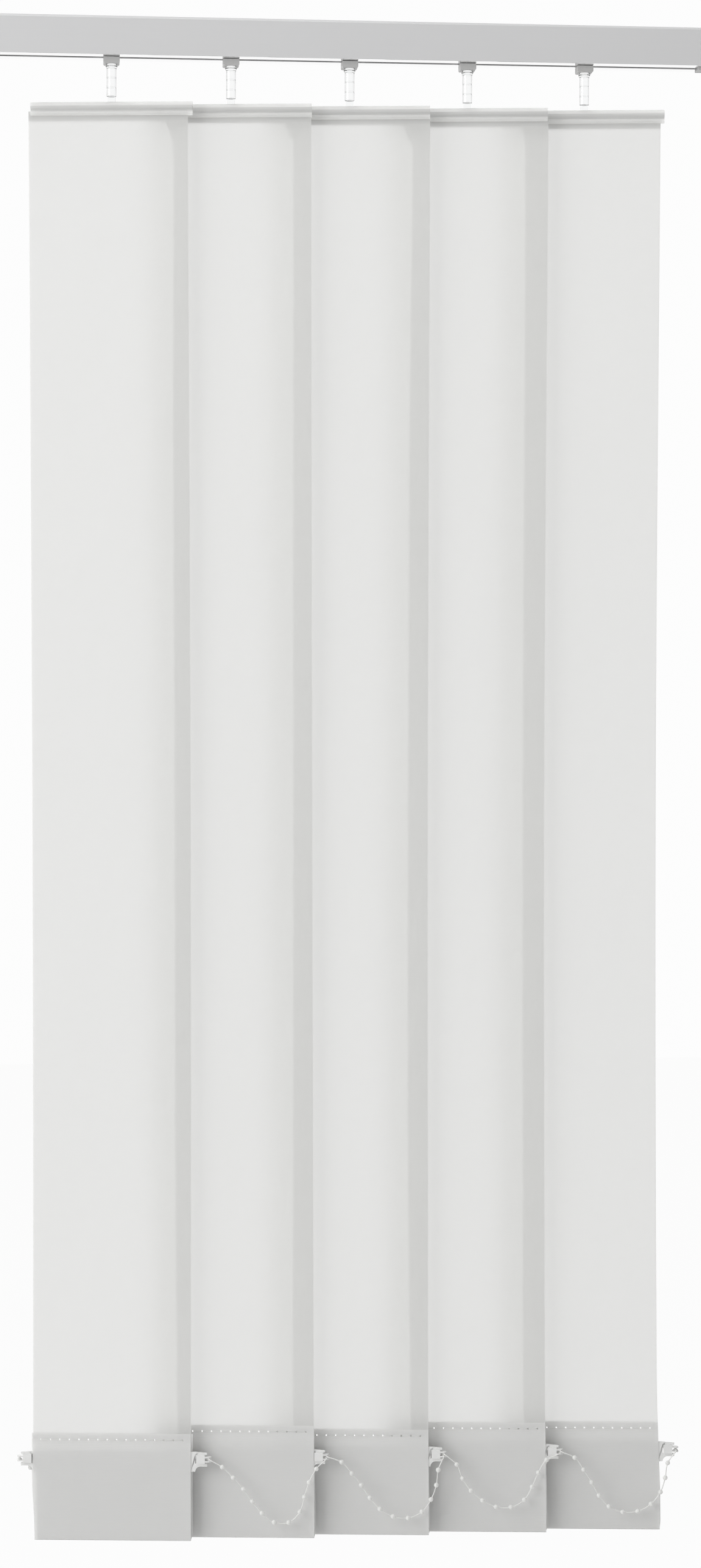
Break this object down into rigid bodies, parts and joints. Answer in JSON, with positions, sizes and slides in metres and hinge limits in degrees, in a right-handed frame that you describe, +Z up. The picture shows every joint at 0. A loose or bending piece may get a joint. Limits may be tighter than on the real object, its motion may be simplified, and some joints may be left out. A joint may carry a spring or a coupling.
{
  "type": "vertical blind",
  "caption": "Vertical blind: a slotted head rail with geared carriers on clear stems, wide fabric slats with weighted hems, and bead chains linking their lower corners.",
  "frame": {"origin": "middle of the head rail's top face, which lies against the ceiling", "axes": "+X along the rail to the right as seen from the room, +Y towards the window, +Z up"},
  "size_m": [0.646, 0.0308, 1.217],
  "materials": {
    "rail": "satin light grey",
    "cap": "light grey",
    "carrier": "grey",
    "rod": "drawn",
    "spring_steel": "bright strip",
    "gear": "natural white",
    "clear": "clear",
    "milky": "milky, see-through",
    "cloth": "woven, lets light through",
    "weight": "white",
    "white": "white",
    "bead": "white"
  },
  "bodies": {
    "rail": {"headrail": "rail", "end_cap_left": "cap", "end_cap_right": "cap", "end_stop_left": "carrier", "end_stop_right": "carrier"},
    "rod": {"tilt_rod": "rod"},
    "runner_1": {"carrier_1": "carrier", "spacer_1": "spring_steel"},
    "drive_1": {"worm_1": "gear"},
    "vane_1": {"tilt_gear_1": "gear", "stem_1": "clear", "hanger_1": "milky", "slat_1": "cloth", "weight_1": "weight", "chain_clips_1": "white"},
    "runner_2": {"carrier_2": "carrier", "spacer_2": "spring_steel"},
    "drive_2": {"worm_2": "gear"},
    "vane_2": {"tilt_gear_2": "gear", "stem_2": "clear", "hanger_2": "milky", "slat_2": "cloth", "weight_2": "weight", "chain_clips_2": "white"},
    "runner_3": {"carrier_3": "carrier", "spacer_3": "spring_steel"},
    "drive_3": {"worm_3": "gear"},
    "vane_3": {"tilt_gear_3": "gear", "stem_3": "clear", "hanger_3": "milky", "slat_3": "cloth", "weight_3": "weight", "chain_clips_3": "white"},
    "runner_4": {"carrier_4": "carrier", "spacer_4": "spring_steel"},
    "drive_4": {"worm_4": "gear"},
    "vane_4": {"tilt_gear_4": "gear", "stem_4": "clear", "hanger_4": "milky", "slat_4": "cloth", "weight_4": "weight", "chain_clips_4": "white"},
    "runner_5": {"carrier_5": "carrier"},
    "drive_5": {"worm_5": "gear"},
    "vane_5": {"tilt_gear_5": "gear", "stem_5": "clear", "hanger_5": "milky", "slat_5": "cloth", "weight_5": "weight", "chain_clips_5": "white"},
    "front_span_1": {"front_chain_1": "bead"},
    "rear_span_1": {"rear_chain_1": "bead"},
    "front_span_2": {"front_chain_2": "bead"},
    "rear_span_2": {"rear_chain_2": "bead"},
    "front_span_3": {"front_chain_3": "bead"},
    "rear_span_3": {"rear_chain_3": "bead"},
    "front_span_4": {"front_chain_4": "bead"},
    "rear_span_4": {"rear_chain_4": "bead"}
  },
  "joints": [
    {"name": "draw_1", "type": "slide", "parent": "rail", "child": "runner_1", "axis": [1, 0, 0], "range_m": [-0.065, 0]},
    {"name": "draw_2", "type": "slide", "parent": "rail", "child": "runner_2", "axis": [1, 0, 0], "range_m": [-0.095, 0]},
    {"name": "draw_3", "type": "slide", "parent": "rail", "child": "runner_3", "axis": [1, 0, 0], "range_m": [-0.125, 0]},
    {"name": "draw_4", "type": "slide", "parent": "rail", "child": "runner_4", "axis": [1, 0, 0], "range_m": [-0.155, 0]},
    {"name": "draw", "type": "slide", "parent": "rail", "child": "runner_5", "axis": [1, 0, 0], "range_m": [-0.185, 0], "deforming": ["front_chain_1", "front_chain_2", "front_chain_3", "front_chain_4", "rear_chain_1", "rear_chain_2", "rear_chain_3", "rear_chain_4"]},
    {"name": "tilt", "type": "hinge", "parent": "runner_1", "child": "vane_1", "pos_m": [-0.19, 0, -0.06], "axis": [0, 0, 1], "range_deg": [-166, 0]},
    {"name": "tilt_2", "type": "hinge", "parent": "runner_2", "child": "vane_2", "pos_m": [-0.095, 0, -0.06], "axis": [0, 0, 1], "range_deg": [-166, 0]},
    {"name": "tilt_3", "type": "hinge", "parent": "runner_3", "child": "vane_3", "pos_m": [0, 0, -0.06], "axis": [0, 0, 1], "range_deg": [-166, 0]},
    {"name": "tilt_4", "type": "hinge", "parent": "runner_4", "child": "vane_4", "pos_m": [0.095, 0, -0.06], "axis": [0, 0, 1], "range_deg": [-166, 0]},
    {"name": "tilt_5", "type": "hinge", "parent": "runner_5", "child": "vane_5", "pos_m": [0.19, 0, -0.06], "axis": [0, 0, 1], "range_deg": [-166, 0]},
    {"name": "rod_spin", "type": "hinge", "parent": "rail", "child": "rod", "pos_m": [0, 0.007, -0.01875], "axis": [1, 0, 0], "range_deg": [-1660, 0]},
    {"name": "worm_spin_1", "type": "hinge", "parent": "runner_1", "child": "drive_1", "pos_m": [-0.19, 0.007, -0.01875], "axis": [1, 0, 0], "range_deg": [-1660, 0]},
    {"name": "worm_spin_2", "type": "hinge", "parent": "runner_2", "child": "drive_2", "pos_m": [-0.095, 0.007, -0.01875], "axis": [1, 0, 0], "range_deg": [-1660, 0]},
    {"name": "worm_spin_3", "type": "hinge", "parent": "runner_3", "child": "drive_3", "pos_m": [0, 0.007, -0.01875], "axis": [1, 0, 0], "range_deg": [-1660, 0]},
    {"name": "worm_spin_4", "type": "hinge", "parent": "runner_4", "child": "drive_4", "pos_m": [0.095, 0.007, -0.01875], "axis": [1, 0, 0], "range_deg": [-1660, 0]},
    {"name": "worm_spin_5", "type": "hinge", "parent": "runner_5", "child": "drive_5", "pos_m": [0.19, 0.007, -0.01875], "axis": [1, 0, 0], "range_deg": [-1660, 0]},
    {"name": "front_swing_1", "type": "hinge", "parent": "vane_1", "child": "front_span_1", "pos_m": [-0.11447, -0.00927, -1.1509], "axis": [0, 0, 1], "range_deg": [0, 166]},
    {"name": "rear_swing_1", "type": "hinge", "parent": "vane_1", "child": "rear_span_1", "pos_m": [-0.26553, 0.00927, -1.1509], "axis": [0, 0, 1], "range_deg": [0, 166]},
    {"name": "front_swing_2", "type": "hinge", "parent": "vane_2", "child": "front_span_2", "pos_m": [-0.01947, -0.00927, -1.1509], "axis": [0, 0, 1], "range_deg": [0, 166]},
    {"name": "rear_swing_2", "type": "hinge", "parent": "vane_2", "child": "rear_span_2", "pos_m": [-0.17053, 0.00927, -1.1509], "axis": [0, 0, 1], "range_deg": [0, 166]},
    {"name": "front_swing_3", "type": "hinge", "parent": "vane_3", "child": "front_span_3", "pos_m": [0.07553, -0.00927, -1.1509], "axis": [0, 0, 1], "range_deg": [0, 166]},
    {"name": "rear_swing_3", "type": "hinge", "parent": "vane_3", "child": "rear_span_3", "pos_m": [-0.07553, 0.00927, -1.1509], "axis": [0, 0, 1], "range_deg": [0, 166]},
    {"name": "front_swing_4", "type": "hinge", "parent": "vane_4", "child": "front_span_4", "pos_m": [0.17053, -0.00927, -1.1509], "axis": [0, 0, 1], "range_deg": [0, 166]},
    {"name": "rear_swing_4", "type": "hinge", "parent": "vane_4", "child": "rear_span_4", "pos_m": [0.01947, 0.00927, -1.1509], "axis": [0, 0, 1], "range_deg": [0, 166]}
  ],
  "couplings": [
    {"joint": "draw_1", "follows": "draw", "ratio": 0.35135},
    {"joint": "draw_2", "follows": "draw", "ratio": 0.51351},
    {"joint": "draw_3", "follows": "draw", "ratio": 0.67568},
    {"joint": "draw_4", "follows": "draw", "ratio": 0.83784},
    {"joint": "tilt_2", "follows": "tilt", "ratio": 1},
    {"joint": "tilt_3", "follows": "tilt", "ratio": 1},
    {"joint": "tilt_4", "follows": "tilt", "ratio": 1},
    {"joint": "tilt_5", "follows": "tilt", "ratio": 1},
    {"joint": "rod_spin", "follows": "tilt", "ratio": 10},
    {"joint": "worm_spin_1", "follows": "tilt", "ratio": 10},
    {"joint": "worm_spin_2", "follows": "tilt", "ratio": 10},
    {"joint": "worm_spin_3", "follows": "tilt", "ratio": 10},
    {"joint": "worm_spin_4", "follows": "tilt", "ratio": 10},
    {"joint": "worm_spin_5", "follows": "tilt", "ratio": 10},
    {"joint": "front_swing_1", "follows": "tilt", "ratio": -1},
    {"joint": "rear_swing_1", "follows": "tilt", "ratio": -1},
    {"joint": "front_swing_2", "follows": "tilt", "ratio": -1},
    {"joint": "rear_swing_2", "follows": "tilt", "ratio": -1},
    {"joint": "front_swing_3", "follows": "tilt", "ratio": -1},
    {"joint": "rear_swing_3", "follows": "tilt", "ratio": -1},
    {"joint": "front_swing_4", "follows": "tilt", "ratio": -1},
    {"joint": "rear_swing_4", "follows": "tilt", "ratio": -1}
  ]
}
